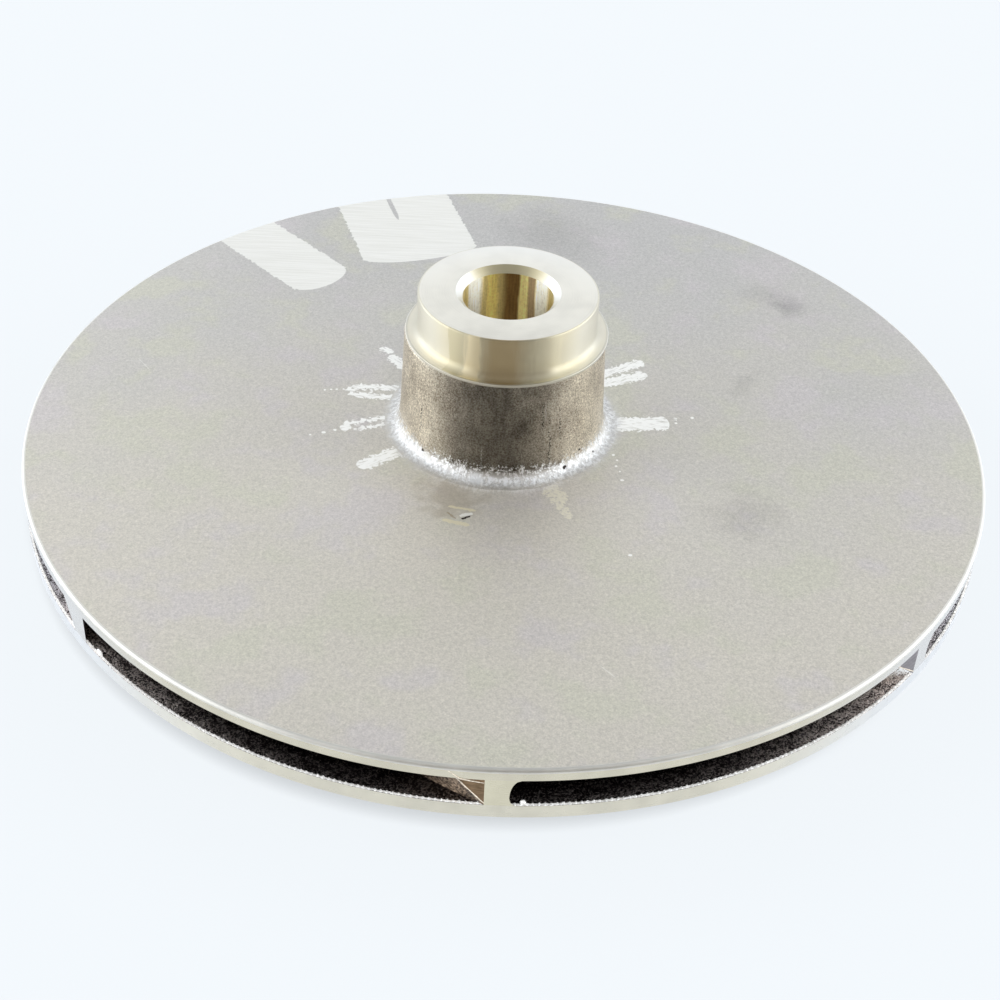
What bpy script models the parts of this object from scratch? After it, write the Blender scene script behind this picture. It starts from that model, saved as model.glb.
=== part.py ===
"""Closed centrifugal pump impeller, sand cast in bronze and partly machined.

The impeller lies as it would on a bench: on the flat end of its eye ring, with the hub
boss pointing up. +Z runs up the shaft axis, and the origin is on that axis in the plane
of the eye ring's end. -Y points at the tip of vane 1.

The real impeller is one casting. Each feature that a pump fitter names is a solid of its
own here, and the solids stop a hair short of each other along the faces where the metal
really runs on: the hub with its bore, the back shroud, the front shroud, the eye ring and
the seven vanes between the shrouds.
"""
import math

import bmesh
import bpy

# Driving sizes, in metres. Radii are from the shaft axis, heights from the eye ring's end.
RIM_RADIUS = 0.130
RIM_CHAMFER = 0.0011
FRONT_RIM_HEIGHT = 0.0140
FRONT_RIM_THICKNESS = 0.0037
OUTLET_WIDTH = 0.0081
BACK_RIM_THICKNESS = 0.0032

BORE_RADIUS = 0.0120
BORE_MOUTH_CHAMFER = 0.0018
NOSE_CHAMFER = 0.0010
SPIGOT_RADIUS = 0.0238
SPIGOT_EDGE = 0.0004
SPIGOT_FILLET = 0.0020
LEDGE_RADIUS = 0.0269
HUB_FOOT_RADIUS = 0.0280
HUB_FILLET = 0.0042
LEDGE_ABOVE_SHROUD = 0.0296
HUB_ABOVE_SHROUD = 0.0410

NOSE_RADIUS = 0.0195
NOSE_HEIGHT = 0.0040
EYE_RADIUS = 0.0385
EYE_RING_RADIUS = 0.0450
EYE_RING_LENGTH = 0.0055
EYE_RING_EDGE = 0.0008
EYE_RING_FILLET = 0.0038
EYE_THROAT_HEIGHT = 0.0020

# The passage between the shrouds. Near the axis each wall is a quarter ellipse that turns
# the water from along the shaft to outwards; beyond it the wall is a shallow cone.
ROOF_TURN_RADIUS = 0.062
ROOF_TURN_DROP = 0.0010
FLOOR_TURN_RADIUS = 0.057
FLOOR_TURN_DROP = 0.0037
UNDERSIDE_TURN_RADIUS = 0.054
UNDERSIDE_TURN_DROP = 0.0044

VANE_COUNT = 7
VANE_ONE_TIP_ANGLE = math.radians(-88.7)
VANE_ANGLE = math.radians(27)
VANE_THICKNESS = 0.0040
VANE_TIP_THICKNESS = 0.0025
VANE_FILED_LENGTH = 0.0042
VANE_NOSE_LENGTH = 0.0030
VANE_NOSE_THICKNESS = 0.0010
VANE_INNER_RADIUS_AT_ROOF = 0.031
VANE_INNER_RADIUS_AT_FLOOR = 0.042
VANE_STATIONS = 24

# Where the hub stops and the back shroud begins, and the hair gap between neighbours.
WEB_RADIUS = 0.0365
SEAM = 0.0003

TURNED_STEPS = 72
SWEEP_STEPS = 7
FILLET_STEPS = 4

# Heights that follow from the sizes above.
FLOOR_RIM_HEIGHT = FRONT_RIM_HEIGHT + FRONT_RIM_THICKNESS
ROOF_RIM_HEIGHT = FLOOR_RIM_HEIGHT + OUTLET_WIDTH
BACK_FACE_HEIGHT = ROOF_RIM_HEIGHT + BACK_RIM_THICKNESS
LEDGE_HEIGHT = BACK_FACE_HEIGHT + LEDGE_ABOVE_SHROUD
HUB_END_HEIGHT = BACK_FACE_HEIGHT + HUB_ABOVE_SHROUD
ROOF_TURN_HEIGHT = ROOF_RIM_HEIGHT - ROOF_TURN_DROP
FLOOR_TURN_HEIGHT = FLOOR_RIM_HEIGHT - FLOOR_TURN_DROP
UNDERSIDE_TURN_HEIGHT = FRONT_RIM_HEIGHT - UNDERSIDE_TURN_DROP


def clear_scene():
    for item in list(bpy.data.objects):
        bpy.data.objects.remove(item)


def bronze(name, colour, roughness, metallic):
    """A plain metal finish. Colours are linear red, green and blue."""
    material = bpy.data.materials.new(name)
    material.use_nodes = True
    shader = material.node_tree.nodes["Principled BSDF"]
    shader.inputs["Base Color"].default_value = (*colour, 1.0)
    shader.inputs["Roughness"].default_value = roughness
    shader.inputs["Metallic"].default_value = metallic
    return material


def add_object(name, mesh_builder, material):
    """Turn a finished bmesh into a named, smooth-shaded object."""
    bmesh.ops.recalc_face_normals(mesh_builder, faces=mesh_builder.faces)
    mesh = bpy.data.meshes.new(name)
    mesh_builder.to_mesh(mesh)
    mesh_builder.free()
    mesh.shade_smooth()
    mesh.set_sharp_from_angle(angle=math.radians(35))
    mesh.materials.append(material)
    item = bpy.data.objects.new(name, mesh)
    bpy.context.scene.collection.objects.link(item)
    return item


def turned_solid(name, outline, material):
    """Spin a closed outline of (radius, height) points once round the shaft axis."""
    builder = bmesh.new()
    corners = [builder.verts.new((radius, 0.0, height)) for radius, height in outline]
    edges = [builder.edges.new((corner, corners[index - 1])) for index, corner in enumerate(corners)]
    bmesh.ops.spin(
        builder,
        geom=corners + edges,
        cent=(0.0, 0.0, 0.0),
        axis=(0.0, 0.0, 1.0),
        angle=math.tau,
        steps=TURNED_STEPS,
        use_merge=True,
    )
    bmesh.ops.remove_doubles(builder, verts=builder.verts, dist=1e-7)
    return add_object(name, builder, material)


def blend(start, end, share):
    return start + (end - start) * share


def cone_height(radius, inner_radius, inner_height, rim_height):
    """Height of a straight cone that reaches rim_height at the rim."""
    share = (radius - inner_radius) / (RIM_RADIUS - inner_radius)
    return blend(inner_height, rim_height, share)


def turn_height(radius, inner_radius, inner_height, outer_radius, outer_height):
    """Height of the quarter ellipse that leaves the inner radius along the shaft."""
    share = (outer_radius - radius) / (outer_radius - inner_radius)
    return inner_height + (outer_height - inner_height) * math.sqrt(max(0.0, 1.0 - share * share))


def roof_height(radius):
    """Underside of the hub and back shroud, which is the roof of every passage."""
    if radius > ROOF_TURN_RADIUS:
        return cone_height(radius, ROOF_TURN_RADIUS, ROOF_TURN_HEIGHT, ROOF_RIM_HEIGHT)
    return turn_height(radius, NOSE_RADIUS, NOSE_HEIGHT, ROOF_TURN_RADIUS, ROOF_TURN_HEIGHT)


def floor_height(radius):
    """Inner face of the front shroud and eye ring, which is the floor of every passage."""
    if radius > FLOOR_TURN_RADIUS:
        return cone_height(radius, FLOOR_TURN_RADIUS, FLOOR_TURN_HEIGHT, FLOOR_RIM_HEIGHT)
    return turn_height(radius, EYE_RADIUS, EYE_THROAT_HEIGHT, FLOOR_TURN_RADIUS, FLOOR_TURN_HEIGHT)


def eye_radius_at(height):
    """Radius of the eye's wall where its quarter ellipse has reached this height."""
    share = (height - EYE_THROAT_HEIGHT) / (FLOOR_TURN_HEIGHT - EYE_THROAT_HEIGHT)
    return FLOOR_TURN_RADIUS - (FLOOR_TURN_RADIUS - EYE_RADIUS) * math.sqrt(1.0 - share * share)


def turn_radii(first, last, steps):
    """Radii along a quarter ellipse, closer together near its steep inner end."""
    return [blend(first, last, (step / steps) ** 1.8) for step in range(steps + 1)]


def arc(centre, radius, start_degrees, end_degrees, steps):
    """Points of a circular arc in the plane of the outline."""
    points = []
    for step in range(steps + 1):
        angle = math.radians(blend(start_degrees, end_degrees, step / steps))
        points.append((centre[0] + radius * math.cos(angle), centre[1] + radius * math.sin(angle)))
    return points


def build_hub(material):
    """Cast boss with a turned spigot and bore above, and a rounded nose down in the eye."""
    spigot_foot = (SPIGOT_RADIUS + SPIGOT_FILLET, LEDGE_HEIGHT + SPIGOT_FILLET)
    hub_foot = (HUB_FOOT_RADIUS + HUB_FILLET, BACK_FACE_HEIGHT + HUB_FILLET)
    outline = [
        (BORE_RADIUS, NOSE_HEIGHT + NOSE_CHAMFER),
        (BORE_RADIUS, HUB_END_HEIGHT - BORE_MOUTH_CHAMFER),
        (BORE_RADIUS + BORE_MOUTH_CHAMFER, HUB_END_HEIGHT),
        (SPIGOT_RADIUS - SPIGOT_EDGE, HUB_END_HEIGHT),
        (SPIGOT_RADIUS, HUB_END_HEIGHT - SPIGOT_EDGE),
    ]
    outline += arc(spigot_foot, SPIGOT_FILLET, 180.0, 270.0, FILLET_STEPS)
    outline.append((LEDGE_RADIUS, LEDGE_HEIGHT))
    outline += arc(hub_foot, HUB_FILLET, 180.0, 270.0, FILLET_STEPS)
    outline.append((WEB_RADIUS, BACK_FACE_HEIGHT))
    sweep = turn_radii(NOSE_RADIUS, WEB_RADIUS, SWEEP_STEPS)
    outline += [(radius, roof_height(radius)) for radius in reversed(sweep)]
    outline.append((BORE_RADIUS + NOSE_CHAMFER, NOSE_HEIGHT))
    return turned_solid("hub", outline, material)


def build_back_shroud(material):
    """Flat disc behind the vanes, chamfered at the rim."""
    inner = WEB_RADIUS + SEAM
    outline = [
        (inner, BACK_FACE_HEIGHT),
        (RIM_RADIUS - RIM_CHAMFER, BACK_FACE_HEIGHT),
        (RIM_RADIUS, BACK_FACE_HEIGHT - RIM_CHAMFER),
        (RIM_RADIUS, ROOF_RIM_HEIGHT),
    ]
    sweep = [blend(ROOF_TURN_RADIUS, inner, step / SWEEP_STEPS) for step in range(SWEEP_STEPS + 1)]
    outline += [(radius, roof_height(radius)) for radius in sweep]
    return turned_solid("back_shroud", outline, material)


def build_front_shroud(material):
    """Shallow cone in front of the vanes, turning down into the eye."""
    throat = eye_radius_at(EYE_RING_LENGTH + SEAM)
    sweep = turn_radii(throat, FLOOR_TURN_RADIUS, SWEEP_STEPS)
    outline = [(radius, floor_height(radius)) for radius in sweep]
    outline.append((RIM_RADIUS, FLOOR_RIM_HEIGHT))
    outline.append((RIM_RADIUS, FRONT_RIM_HEIGHT))
    outline.append((UNDERSIDE_TURN_RADIUS, UNDERSIDE_TURN_HEIGHT))
    ring_foot = (EYE_RING_RADIUS + EYE_RING_FILLET, UNDERSIDE_TURN_HEIGHT - EYE_RING_FILLET)
    outline += arc(ring_foot, EYE_RING_FILLET, 90.0, 180.0, FILLET_STEPS)
    return turned_solid("front_shroud", outline, material)


def build_eye_ring(material):
    """Turned ring round the eye, which runs in the casing's wear ring."""
    throat = eye_radius_at(EYE_RING_LENGTH)
    outline = [
        (EYE_RADIUS, 0.0),
        (EYE_RADIUS, EYE_THROAT_HEIGHT),
        (throat, EYE_RING_LENGTH),
        (EYE_RING_RADIUS, EYE_RING_LENGTH),
        (EYE_RING_RADIUS, EYE_RING_EDGE),
        (EYE_RING_RADIUS - EYE_RING_EDGE, 0.0),
    ]
    return turned_solid("eye_ring", outline, material)


def spiral_angle(radius, tip_angle):
    """Backward-curved vane line that meets every circle at the same angle."""
    return tip_angle - math.log(RIM_RADIUS / radius) / math.tan(VANE_ANGLE)


def half_width_angle(radius, thickness):
    """Half the vane's width, as seen from the shaft axis."""
    return 0.5 * thickness / (radius * math.sin(VANE_ANGLE))


def vane_sides(radius, from_nose):
    """Angles of the vane's outer and inner face either side of its line.

    The nose is rounded off, and the outer face is filed back over the last few
    millimetres, which leaves the narrow tip that shows between two outlets.
    """
    rounding = math.sqrt(max(0.0, 1.0 - (1.0 - min(1.0, from_nose / VANE_NOSE_LENGTH)) ** 2))
    thickness = blend(VANE_NOSE_THICKNESS, VANE_THICKNESS, rounding)
    outer_face = half_width_angle(radius, 2.0 * thickness - VANE_TIP_THICKNESS)
    inner_face = half_width_angle(radius, VANE_TIP_THICKNESS * thickness / VANE_THICKNESS)
    filed = max(0.0, 1.0 - (RIM_RADIUS - radius) / VANE_FILED_LENGTH)
    outer_face = blend(outer_face, half_width_angle(radius, VANE_TIP_THICKNESS), filed)
    return outer_face, inner_face


def vane_corner(radius, angle, height):
    return (radius * math.cos(angle), radius * math.sin(angle), height)


def vane_section(share, tip_angle):
    """Four corners of the vane at one station: outer and inner face, floor and roof."""
    corners = []
    for inner_radius, height_at, lift in (
        (VANE_INNER_RADIUS_AT_FLOOR, floor_height, SEAM),
        (VANE_INNER_RADIUS_AT_ROOF, roof_height, -SEAM),
    ):
        radius = blend(inner_radius, RIM_RADIUS, share)
        outer_face, inner_face = vane_sides(radius, radius - inner_radius)
        line = spiral_angle(radius, tip_angle)
        height = height_at(radius) + lift
        corners.append(vane_corner(radius, line - outer_face, height))
        corners.append(vane_corner(radius, line + inner_face, height))
    outer_floor, inner_floor, outer_roof, inner_roof = corners
    return (outer_floor, inner_floor, inner_roof, outer_roof)


def build_vane(name, tip_angle, material):
    """Curved wall between the shrouds, swept back from the eye to the rim."""
    builder = bmesh.new()
    rings = []
    for station in range(VANE_STATIONS + 1):
        share = (station / VANE_STATIONS) ** 1.15
        rings.append([builder.verts.new(corner) for corner in vane_section(share, tip_angle)])
    for ring, following in zip(rings, rings[1:]):
        for side in range(4):
            ahead = (side + 1) % 4
            builder.faces.new((ring[side], ring[ahead], following[ahead], following[side]))
    builder.faces.new(rings[0])
    builder.faces.new(rings[-1])
    return add_object(name, builder, material)


clear_scene()

cast_skin = bronze("blasted cast bronze", (0.56, 0.54, 0.49), 0.75, 0.35)
hub_skin = bronze("hub bronze", (0.40, 0.35, 0.25), 0.40, 0.85)
turned_skin = bronze("turned bronze", (0.66, 0.63, 0.47), 0.30, 0.90)
passage_skin = bronze("rough passage bronze", (0.20, 0.17, 0.13), 0.85, 0.40)

build_hub(hub_skin)
build_back_shroud(cast_skin)
build_front_shroud(cast_skin.copy())
build_eye_ring(turned_skin)
for number in range(VANE_COUNT):
    vane_tip = VANE_ONE_TIP_ANGLE + math.tau * number / VANE_COUNT
    build_vane(f"vane_{number + 1}", vane_tip, passage_skin.copy())
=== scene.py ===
import math

import bpy
from mathutils import Matrix, Vector


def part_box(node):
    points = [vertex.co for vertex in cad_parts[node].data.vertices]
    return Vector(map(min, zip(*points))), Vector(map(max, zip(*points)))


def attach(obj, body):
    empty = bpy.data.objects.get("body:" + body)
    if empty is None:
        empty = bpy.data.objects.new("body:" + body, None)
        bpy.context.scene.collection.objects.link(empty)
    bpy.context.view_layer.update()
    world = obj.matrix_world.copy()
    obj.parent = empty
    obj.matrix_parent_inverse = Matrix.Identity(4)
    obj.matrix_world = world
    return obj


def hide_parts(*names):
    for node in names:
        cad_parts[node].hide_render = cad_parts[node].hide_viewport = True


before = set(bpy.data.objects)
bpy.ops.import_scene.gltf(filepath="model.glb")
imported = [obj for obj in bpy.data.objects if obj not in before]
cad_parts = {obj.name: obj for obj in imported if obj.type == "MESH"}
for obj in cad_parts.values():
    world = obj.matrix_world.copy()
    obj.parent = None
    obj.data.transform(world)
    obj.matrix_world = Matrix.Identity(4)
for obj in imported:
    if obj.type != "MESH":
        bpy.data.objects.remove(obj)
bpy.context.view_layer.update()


# The camera stands on the side where the tip of vane 1 points, and looks down on the back
# shroud at the photograph's angle. Its small shift is the photograph's own framing.
camera_place = Vector((0.0, -0.3808, 0.3025))
aim_on_back_shroud = Vector((-0.0135, -0.0371, 0.0290))
camera_roll = math.radians(1.36)
lens_mm = 61.06
sensor_mm = 36.0
framing_shift = 0.0537

bpy.ops.object.camera_add(location=camera_place)
camera = bpy.context.object
view_turn = (aim_on_back_shroud - camera_place).to_track_quat("-Z", "Y")
camera.rotation_euler = (view_turn @ Matrix.Rotation(camera_roll, 3, "Z").to_quaternion()).to_euler()
camera.data.lens = lens_mm
camera.data.sensor_width = sensor_mm
camera.data.shift_x = framing_shift
bpy.context.scene.camera = camera
bpy.context.scene.view_settings.view_transform = "Standard"


# The studio is a white cloth tent that glows most at both sides, a little more at the left,
# and least overhead. Its open front, by the camera, is the one dark thing the bronze mirrors.
class Wire:
    """A socket inside a shader, wrapped so that shader maths reads as plain sums."""

    def __init__(self, socket):
        self.socket = socket

    def node(self, kind, settings, sockets, output=0):
        """Add a node to the same shader: its settings first, then what its sockets take."""
        tree = self.socket.id_data
        added = tree.nodes.new(kind)
        for name, value in settings.items():
            setattr(added, name, value)
        for name, value in sockets.items():
            if isinstance(value, Wire):
                tree.links.new(value.socket, added.inputs[name])
            else:
                added.inputs[name].default_value = value
        return Wire(added.outputs[output])

    def maths(self, operation, first, second=0.0):
        return self.node("ShaderNodeMath", {"operation": operation}, {0: first, 1: second})

    def __add__(self, other):
        return self.maths("ADD", self, other)

    def __radd__(self, other):
        return self.maths("ADD", other, self)

    def __sub__(self, other):
        return self.maths("SUBTRACT", self, other)

    def __rsub__(self, other):
        return self.maths("SUBTRACT", other, self)

    def __mul__(self, other):
        return self.maths("MULTIPLY", self, other)

    def __rmul__(self, other):
        return self.maths("MULTIPLY", other, self)

    def __truediv__(self, other):
        return self.maths("DIVIDE", self, other)

    def __abs__(self):
        return self.maths("ABSOLUTE", self)

    def root(self):
        return self.maths("SQRT", self)


def ease(value, start, end):
    """A mask that rises smoothly from 0 where the value is at start to 1 at end."""
    smooth = {"interpolation_type": "SMOOTHSTEP"}
    return value.node("ShaderNodeMapRange", smooth, {"Value": value, "From Min": start, "From Max": end})


def larger(first, second):
    return first.maths("MAXIMUM", first, second)


def smaller(first, second):
    return first.maths("MINIMUM", first, second)


def tint(factor, first, second):
    """A mix of two colours."""
    return factor.node("ShaderNodeMix", {"data_type": "RGBA"}, {0: factor, 6: first, 7: second}, 2)


def let_go():
    """Deselect everything, so that what comes next acts on the new piece alone."""
    bpy.ops.object.select_all(action="DESELECT")


TENT_COLOUR = (0.965, 1.0, 1.045, 1.0)
ROOM_COLOUR = (1.0, 0.72, 0.45, 1.0)
TENT_GLOW = 1.1
LEFT_GLOW = 1.8
RIGHT_GLOW = 1.6
SIDES_FROM = 0.62
SIDES_FULL = 0.94
TOP_DIMMING = 0.7
TOP_FROM = 0.74
TOP_FULL = 0.94
OPENING_LOW_GLOW = 0.10
OPENING_HIGH_GLOW = 0.68
HIGH_FROM = 0.40
HIGH_FULL = 0.80
OPENING_MIDDLE = Vector((0.15, -0.96, 0.21)).normalized()
OPENING_STRETCH = 0.6
OPENING_SPREAD = math.radians(48)
OPENING_BLUR = math.radians(4)
FLOOR_WHITE = (0.905, 0.947, 0.982, 1.0)
FLOOR_OWN_GLOW = 0.634
FLOOR_CATCHES = 0.10
FLOOR_SIZE = 24.0
FLOOR_BELOW_PART = 0.0002

world = bpy.data.worlds.new("white tent")
world.use_nodes = True
bpy.context.scene.world = world
looking = Wire(world.node_tree.nodes.new("ShaderNodeTexCoord").outputs["Generated"])
squeeze = {"Vector": looking, "Scale": (1.0, 1.0, 1.0 / OPENING_STRETCH)}
flattened = looking.node("ShaderNodeMapping", {"vector_type": "NORMAL"}, squeeze)
towards_opening = looking.node(
    "ShaderNodeVectorMath", {"operation": "DOT_PRODUCT"}, {0: flattened, 1: OPENING_MIDDLE}, "Value"
)
opening = ease(
    towards_opening, math.cos(OPENING_SPREAD + OPENING_BLUR), math.cos(OPENING_SPREAD - OPENING_BLUR)
)
sideways = looking.node("ShaderNodeSeparateXYZ", {}, {0: looking}, "X")
upward = looking.node("ShaderNodeSeparateXYZ", {}, {0: looking}, "Z")
glow = TENT_GLOW + LEFT_GLOW * ease(sideways, -SIDES_FROM, -SIDES_FULL)
glow = glow + RIGHT_GLOW * ease(sideways, SIDES_FROM, SIDES_FULL)
glow = glow * (1.0 - TOP_DIMMING * ease(upward, TOP_FROM, TOP_FULL))
high = ease(upward, HIGH_FROM, HIGH_FULL)
opening_glow = OPENING_LOW_GLOW + (OPENING_HIGH_GLOW - OPENING_LOW_GLOW) * high
room = opening * (1.0 - high)
tent = world.node_tree.nodes["Background"]
strength = glow * (1.0 - opening) + opening_glow * opening
world.node_tree.links.new(tint(room, TENT_COLOUR, ROOM_COLOUR).socket, tent.inputs["Color"])
world.node_tree.links.new(strength.socket, tent.inputs["Strength"])

let_go()
bpy.ops.mesh.primitive_plane_add(size=FLOOR_SIZE, location=(0.0, 0.0, -FLOOR_BELOW_PART))
floor = bpy.context.object
floor.name = "floor"
floor_cloth = bpy.data.materials.new("floor cloth")
floor_cloth.use_nodes = True
cloth_shader = floor_cloth.node_tree.nodes["Principled BSDF"]
cloth = {
    "Base Color": [FLOOR_CATCHES * part for part in FLOOR_WHITE[:3]] + [1.0],
    "Roughness": 0.9,
    "Specular IOR Level": 0.0,
    "Emission Color": FLOOR_WHITE,
    "Emission Strength": FLOOR_OWN_GLOW,
}
for socket_name, value in cloth.items():
    cloth_shader.inputs[socket_name].default_value = value
floor.data.materials.append(floor_cloth)

# A soft lamp beside the camera. The metal mirrors the tent alone, so it lights only the floor.
LAMP_PLACE = Vector((0.12, -0.62, 0.88))
LAMP_SOFTNESS = math.radians(18)
LAMP_POWER = 10.7
bpy.ops.object.light_add(type="SUN", location=LAMP_PLACE)
lamp = bpy.context.object
lamp.rotation_euler = (-LAMP_PLACE).to_track_quat("-Z", "Y").to_euler()
lamp.data.angle = LAMP_SOFTNESS
lamp.data.energy = LAMP_POWER
lamp.visible_camera = False
lamp.visible_glossy = False


# The back shroud is the flat disc behind the vanes. It is cast with the rest, its skin blasted
# to a fine matt grain, its rim turned bright, and two places by the rim ground back for balance.
shroud_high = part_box("back_shroud")[1]
hub_low, hub_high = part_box("hub")
RIM_RADIUS = shroud_high[0]
BACK_FACE = shroud_high[2]
RIM_ROUNDING = 0.0010
BACK_RIM_THICKNESS = 0.0032
ROOF_RIM = BACK_FACE - BACK_RIM_THICKNESS
WEB_RADIUS = hub_high[0]
NOSE_RADIUS = 0.0195
NOSE_HEIGHT = hub_low[2]
ROOF_TURN_RADIUS = 0.062
ROOF_TURN = ROOF_RIM - 0.0010
RIM_STEPS = 720
CROWDING = 1.8
FACE_RING_RADIUS = 0.110
NEAR = 1e-5


def blend(start, end, share):
    return start + (end - start) * share


def roof_height(radius):
    """Underside of the hub and back shroud: a shallow cone, then a quarter ellipse."""
    if radius > ROOF_TURN_RADIUS:
        return blend(ROOF_TURN, ROOF_RIM, (radius - ROOF_TURN_RADIUS) / (RIM_RADIUS - ROOF_TURN_RADIUS))
    share = (ROOF_TURN_RADIUS - radius) / (ROOF_TURN_RADIUS - NOSE_RADIUS)
    return NOSE_HEIGHT + (ROOF_TURN - NOSE_HEIGHT) * math.sqrt(max(0.0, 1.0 - share * share))


def along(height_at, start, end, rings, crowding=1.0, lift=0.0):
    """Points of an outline along a surface, from one radius to another, crowded at the start."""
    radii = [blend(start, end, (ring / rings) ** crowding) for ring in range(rings + 1)]
    return [(radius, height_at(radius) + lift) for radius in radii]


def arc(centre, radius, start_degrees, end_degrees, steps):
    """Points of a circular arc in the plane of an outline."""
    points = []
    for step in range(steps + 1):
        angle = math.radians(blend(start_degrees, end_degrees, step / steps))
        points.append((centre[0] + radius * math.cos(angle), centre[1] + radius * math.sin(angle)))
    return points


def pick(body):
    """Select this body alone, and make it the active one."""
    let_go()
    body.select_set(True)
    bpy.context.view_layer.objects.active = body


def fix_placing():
    """Work the place, turn and size of the selected body into its mesh."""
    bpy.ops.object.transform_apply(location=True, rotation=True, scale=True)


def draw_on(move):
    """Extrude what is selected by this much."""
    bpy.ops.mesh.extrude_region_move(TRANSFORM_OT_translate={"value": move})


def stop_editing():
    bpy.ops.object.mode_set(mode="OBJECT")


def turn_body(name, outline, steps):
    """Pull a circle along the outline ring by ring, and close it into a turned body."""
    radius, height = outline[0]
    let_go()
    bpy.ops.mesh.primitive_circle_add(vertices=steps, radius=radius, location=(0.0, 0.0, height))
    body = bpy.context.object
    body.name = name
    fix_placing()
    bpy.ops.object.mode_set(mode="EDIT")
    bpy.ops.mesh.select_all(action="SELECT")
    for next_radius, next_height in outline[1:] + outline[:1]:
        draw_on((0.0, 0.0, next_height - height))
        growth = next_radius / radius
        bpy.ops.transform.resize(value=(growth, growth, 1.0), center_override=(0.0, 0.0, 0.0))
        radius, height = next_radius, next_height
    bpy.ops.mesh.select_all(action="SELECT")
    bpy.ops.mesh.remove_doubles(threshold=1e-6)
    bpy.ops.mesh.normals_make_consistent(inside=False)
    stop_editing()
    return body


def select_corners(body, wanted):
    """Open a body for editing with only the wanted corners selected."""
    pick(body)
    bpy.ops.object.mode_set(mode="EDIT")
    bpy.ops.mesh.select_mode(type="VERT")
    bpy.ops.mesh.select_all(action="DESELECT")
    stop_editing()
    for corner in body.data.vertices:
        corner.select = wanted(corner.co)
    bpy.ops.object.mode_set(mode="EDIT")


def finish_faces(body, finish, wanted=lambda middle, normal: True):
    """Give the wanted faces of a body this finish."""
    body.data.materials.append(finish)
    slot = len(body.data.materials) - 1
    for face in body.data.polygons:
        if wanted(face.center, face.normal):
            face.material_index = slot


def round_off(body):
    """Shade a finished body smooth, with its real edges kept crisp."""
    pick(body)
    bpy.ops.object.shade_smooth_by_angle(angle=math.radians(28))


def span(vector):
    """How far out from the shaft axis a point lies."""
    return math.hypot(vector.x, vector.y)


def start_finish(name, metallic):
    """A new material, its shader, and the wire of its Object coordinates."""
    finish = bpy.data.materials.new(name)
    finish.use_nodes = True
    shader = finish.node_tree.nodes["Principled BSDF"]
    shader.inputs["Metallic"].default_value = metallic
    return finish, shader, Wire(finish.node_tree.nodes.new("ShaderNodeTexCoord").outputs["Object"])


def feed(shader, socket, wire):
    shader.id_data.links.new(wire.socket, shader.inputs[socket])


def axes(place):
    """The x, y and z of a point as three wires."""
    return [place.node("ShaderNodeSeparateXYZ", {}, {0: place}, axis) for axis in ("X", "Y", "Z")]


def from_axis(x, y):
    return (x * x + y * y).root()


def speckle(place, spots_per_metre, detail=2.0, roughness=0.55):
    """Even noise about zero, mostly between -0.25 and 0.25."""
    sockets = {"Vector": place, "Scale": spots_per_metre, "Detail": detail, "Roughness": roughness}
    return place.node("ShaderNodeTexNoise", {}, sockets) - 0.5


def stretched(place, scale, turn=0.0):
    """Coordinates turned about the shaft axis and stretched, for marks that run one way."""
    sockets = {"Vector": place, "Rotation": (0.0, 0.0, turn), "Scale": scale}
    return place.node("ShaderNodeMapping", {"vector_type": "POINT"}, sockets)


def shade(colour, amount):
    """A colour made lighter or darker all over."""
    return colour.node("ShaderNodeVectorMath", {"operation": "SCALE"}, {0: colour, "Scale": amount})


def raise_surface(height, depth):
    """The normal of a surface that this height pushes up by as much as depth."""
    sockets = {"Height": height, "Distance": depth}
    return height.node("ShaderNodeBump", {}, sockets, "Normal")


def clamp(value):
    """Hold a value between 0 and 1."""
    return value.node("ShaderNodeClamp", {}, {"Value": value})


def turn_of(y, x):
    """The angle of a point round the shaft axis."""
    return y.maths("ARCTAN2", y, x)


def seen_edge_on(place):
    """How far a surface is seen edge on, from 0 to 1."""
    return place.node("ShaderNodeLayerWeight", {}, {"Blend": 0.5}, "Facing")


def metres(sizes):
    """Turn sizes given in millimetres, one or a table of them, into metres."""
    if isinstance(sizes, tuple):
        return tuple(metres(size) for size in sizes)
    return sizes / 1000.0


def streak(x, y, mark, ragged):
    """A ground mark between two points of the back face, rounded over nose at both ends."""
    start, end, half_width, nose = metres(mark)
    run = Vector(end) - Vector(start)
    across_x, across_y = -run.y / run.length, run.x / run.length
    down = (x - start[0]) * (run.x / run.length) + (y - start[1]) * (run.y / run.length)
    across = (x - start[0]) * across_x + (y - start[1]) * across_y
    short = 1.0 - clamp(smaller(down, run.length - down) / nose)
    width = half_width * (1.0 - short * short).root()
    return ease(width + ragged * (1.0 - short) - abs(across), 0.0, 0.0003)


def marked(x, y, marks, ragged):
    """One mask for several streaks that are ragged alike."""
    mask = 0.0
    for mark in marks:
        mask = larger(streak(x, y, mark, ragged), mask)
    return mask


BRUSHED_RADIUS = 0.0303
BRUSHED_HEIGHT = 0.0052
RING_BRIGHT = (0.86, 0.86, 0.85, 1.0)
RING_SHADOW = (0.48, 0.47, 0.46, 1.0)
RING_HAZE = (0.80, 0.79, 0.77, 1.0)
PAINTED_PIT_SHADE = (0.05, 0.04, 0.035, 1.0)
# Pits, painted dark for the shade inside them, and one bright nick in the brushed corner:
# x, y, height over the face, size, colour.
RING_MARKS = (
    (-0.0206, -0.0193, 0.0024, 0.0006, PAINTED_PIT_SHADE), (-0.0125, -0.0249, 0.0038, 0.0006, PAINTED_PIT_SHADE),
    (0.0171, -0.0229, 0.0017, 0.0007, PAINTED_PIT_SHADE), (0.0210, -0.0182, 0.0042, 0.0006, PAINTED_PIT_SHADE),
    (0.0249, -0.0147, 0.0014, 0.0005, PAINTED_PIT_SHADE), (-0.0062, -0.0290, 0.0010, 0.0022, RING_BRIGHT),
)


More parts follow.
